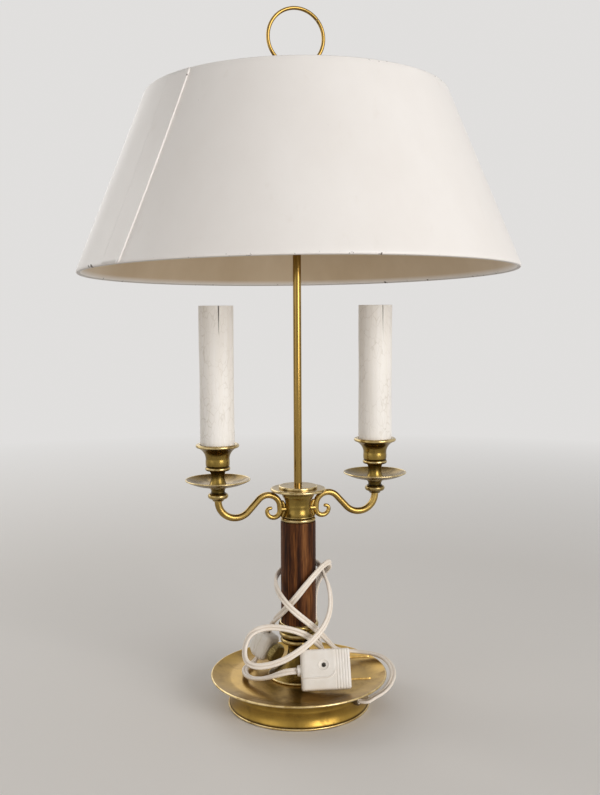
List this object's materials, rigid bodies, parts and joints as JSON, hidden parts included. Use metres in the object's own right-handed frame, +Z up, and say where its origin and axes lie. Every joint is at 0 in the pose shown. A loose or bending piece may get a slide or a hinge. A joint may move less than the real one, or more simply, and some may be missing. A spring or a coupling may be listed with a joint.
{
  "type": "bouillotte lamp",
  "caption": "Table lamp with a brass dish base, a wooden column, scroll arms with candle sleeves and a metal shade that slides and turns on a central rod; a corded in-line switch and plug.",
  "frame": {"origin": "middle of the base's felt, on the table", "axes": "+Z up the rod, the two scroll arms lie along X, the front of the lamp is -Y"},
  "size_m": [0.38, 0.3796, 0.613],
  "materials": {
    "patinated_brass": "old lacquered brass, patchy and worn at the edges",
    "carrier_brass": "turned brass, satin",
    "dark_wood": "turned dark hardwood, polished",
    "shade_lacquer": "off-white lacquer on sheet steel, chipped at the hems",
    "candle_white": "aged white candle sleeve, crackled",
    "holder_black": "moulded phenolic",
    "shell_brass": "bright pressed brass",
    "steel_tube": "plated steel",
    "ballast_iron": "rough casting",
    "felt_green": "felt",
    "grommet_rubber": "moulded bush",
    "flex_white": "flat twin flex, ivory white",
    "switch_white": "moulded, glossy",
    "knob_olive": "olive bronze metallic",
    "plug_white": "moulded, slightly glossy",
    "plug_steel": "zinc plated",
    "blade_brass": "rolled brass strip"
  },
  "bodies": {
    "lamp": {"base_dish": "patinated_brass", "base_felt": "felt_green", "base_weight": "ballast_iron", "cord_grommet": "grommet_rubber", "base_washer": "steel_tube", "base_nut": "steel_tube", "column_tube": "steel_tube", "pedestal": "patinated_brass", "column_ferrule": "patinated_brass", "wood_column": "dark_wood", "capital_neck": "patinated_brass", "capital_plate": "patinated_brass", "capital_cap": "patinated_brass", "centre_rod": "patinated_brass", "rod_finial": "patinated_brass", "ring_handle": "patinated_brass", "scroll_arm_left": "patinated_brass", "scroll_arm_right": "patinated_brass", "arm_wires_left": "flex_white", "arm_wires_right": "flex_white", "knop_left": "patinated_brass", "knop_right": "patinated_brass", "drip_pan_left": "patinated_brass", "drip_pan_right": "patinated_brass", "candle_cup_left": "patinated_brass", "candle_cup_right": "patinated_brass", "candle_tube_left": "steel_tube", "candle_tube_right": "steel_tube", "lampholder_left": "holder_black", "lampholder_right": "holder_black", "screw_shell_left": "shell_brass", "screw_shell_right": "shell_brass", "centre_contact_left": "shell_brass", "centre_contact_right": "shell_brass", "inner_flex": "flex_white", "cord_to_switch": "flex_white", "cord_to_plug": "flex_white", "switch_base": "switch_white", "switch_cover": "switch_white", "switch_contact": "shell_brass", "plug_base": "plug_white", "plug_cover": "plug_white", "plug_screw": "plug_steel", "plug_blade_lower": "blade_brass", "plug_blade_upper": "blade_brass"},
    "carrier": {"shade_carrier": "carrier_brass", "carrier_nut": "carrier_brass"},
    "shade": {"shade_skin": "shade_lacquer", "shade_seam": "shade_lacquer", "shade_top_wire": "shade_lacquer", "shade_bottom_wire": "shade_lacquer", "shade_spider": "shade_lacquer"},
    "thumbscrew": {"shade_thumbscrew": "carrier_brass"},
    "sleeve_left": {"candle_sleeve_left": "candle_white"},
    "sleeve_right": {"candle_sleeve_right": "candle_white"},
    "switch_knob": {"switch_button": "knob_olive"}
  },
  "joints": [
    {"name": "shade_slide", "type": "slide", "parent": "lamp", "child": "carrier", "axis": [0, 0, 1], "range_m": [-0.162, 0.0105]},
    {"name": "shade_turn", "type": "hinge", "parent": "carrier", "child": "shade", "pos_m": [0, 0, 0.5346], "axis": [0, 0, 1], "continuous": true},
    {"name": "thumbscrew_turn", "type": "hinge", "parent": "carrier", "child": "thumbscrew", "pos_m": [0, -0.018, 0.5216], "axis": [0, -1, 0], "range_deg": [0, 720]},
    {"name": "sleeve_lift_left", "type": "slide", "parent": "lamp", "child": "sleeve_left", "axis": [0, 0, 1], "range_m": [0, 0.122]},
    {"name": "sleeve_lift_right", "type": "slide", "parent": "lamp", "child": "sleeve_right", "axis": [0, 0, 1], "range_m": [0, 0.122]},
    {"name": "switch_press", "type": "slide", "parent": "lamp", "child": "switch_knob", "axis": [-0.552, 0.7569, 0.3499], "range_m": [0, 0.002], "stiffness_N_per_m": 500, "springref_m": -0.002}
  ]
}
